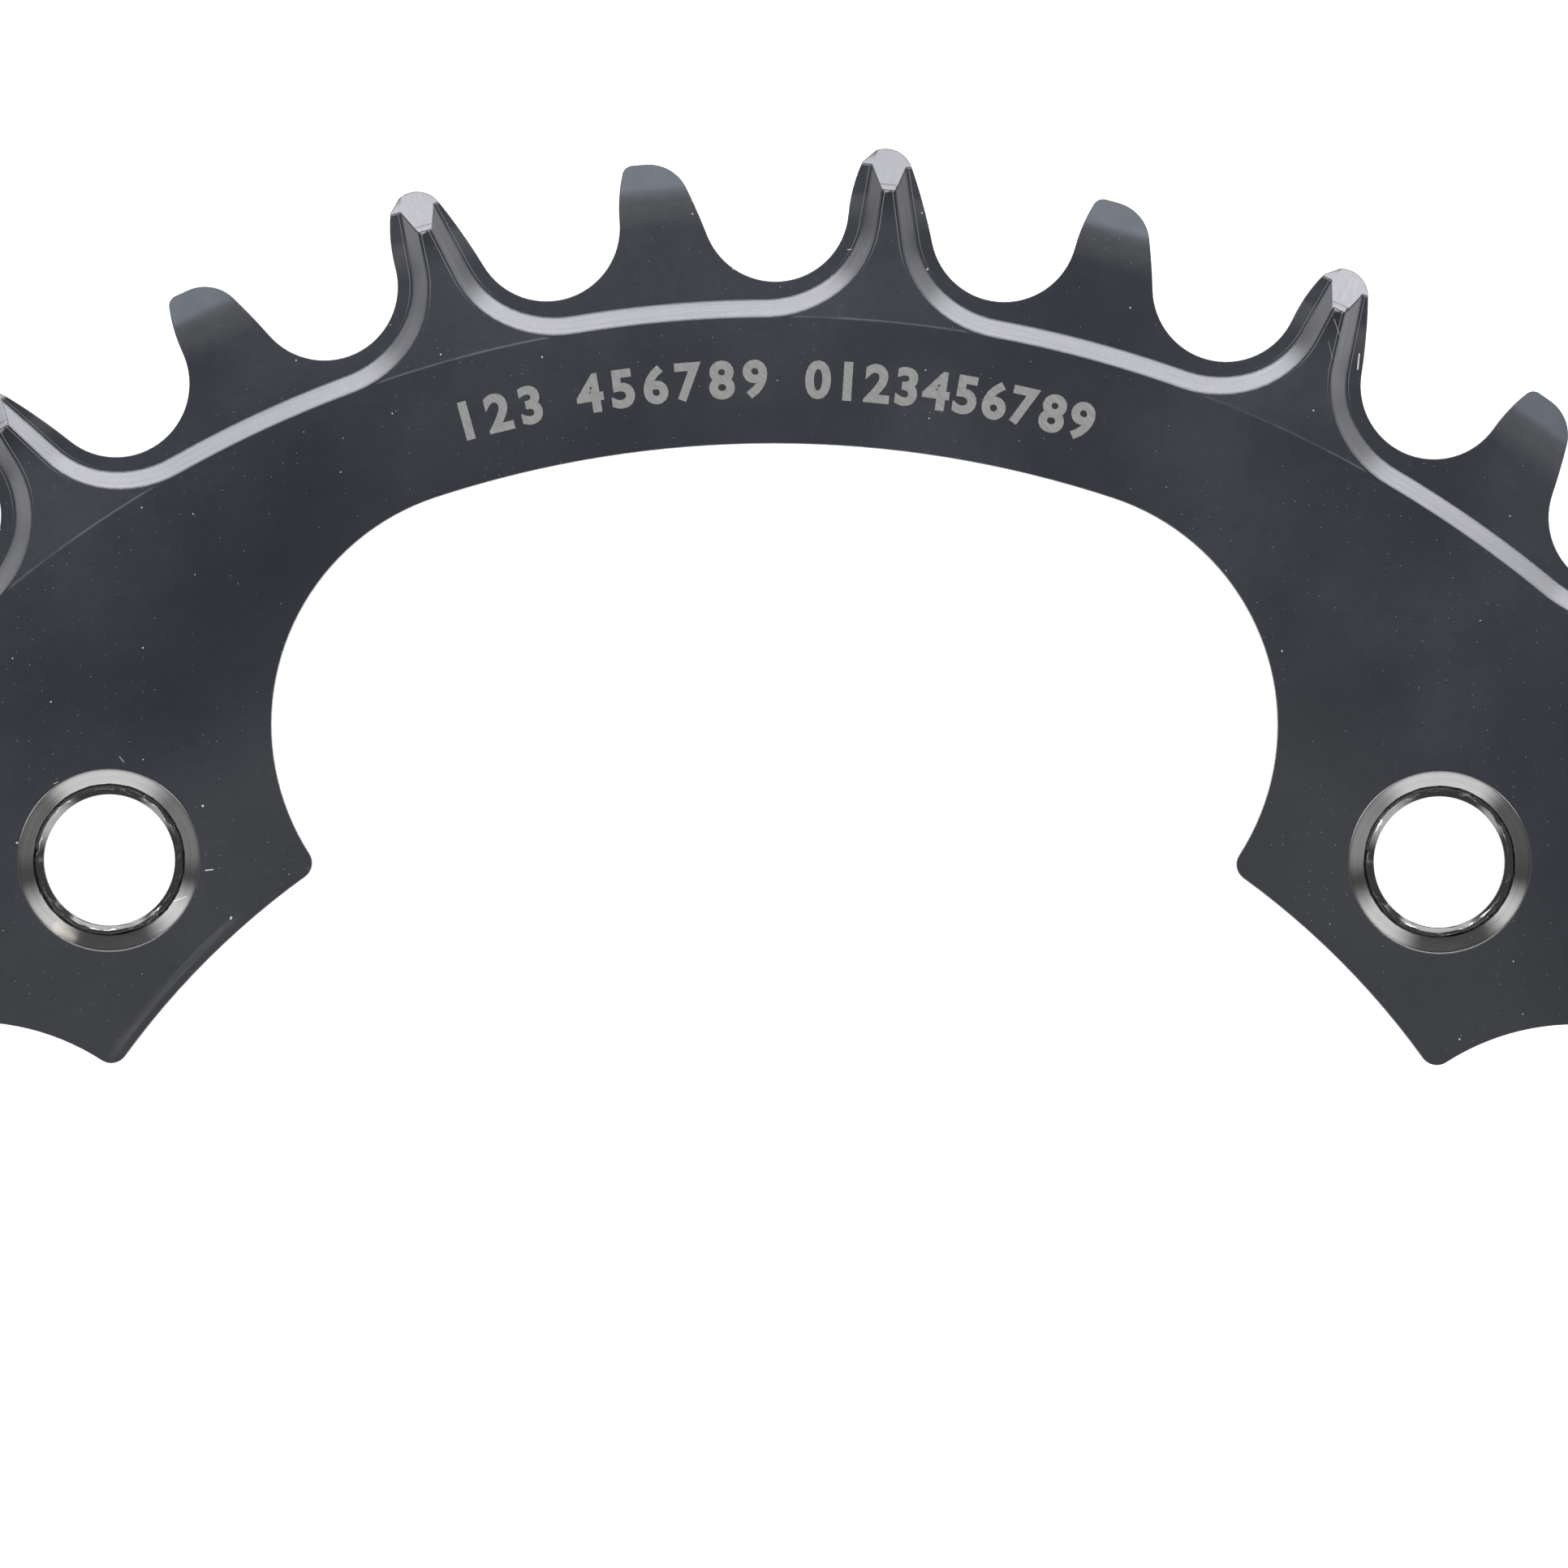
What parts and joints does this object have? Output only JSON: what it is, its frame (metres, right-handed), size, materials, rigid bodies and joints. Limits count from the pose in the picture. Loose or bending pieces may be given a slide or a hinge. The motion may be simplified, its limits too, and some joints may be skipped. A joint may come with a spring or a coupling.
{
  "type": "bicycle chainring",
  "caption": "Flat toothed ring with thick and thin teeth by turns, a scalloped opening and threaded bolt tabs, which drives a bicycle's chain.",
  "frame": {"origin": "centre of the ring on the plane of its back face", "axes": "+Z is the ring's axis and points out of its front face; +Y runs through a valley between two teeth, midway between two bolt tabs"},
  "size_m": [0.1522, 0.1524, 0.004],
  "materials": {
    "anodised": "satin"
  },
  "bodies": {
    "root": {"chainring": "anodised"}
  },
  "joints": []
}
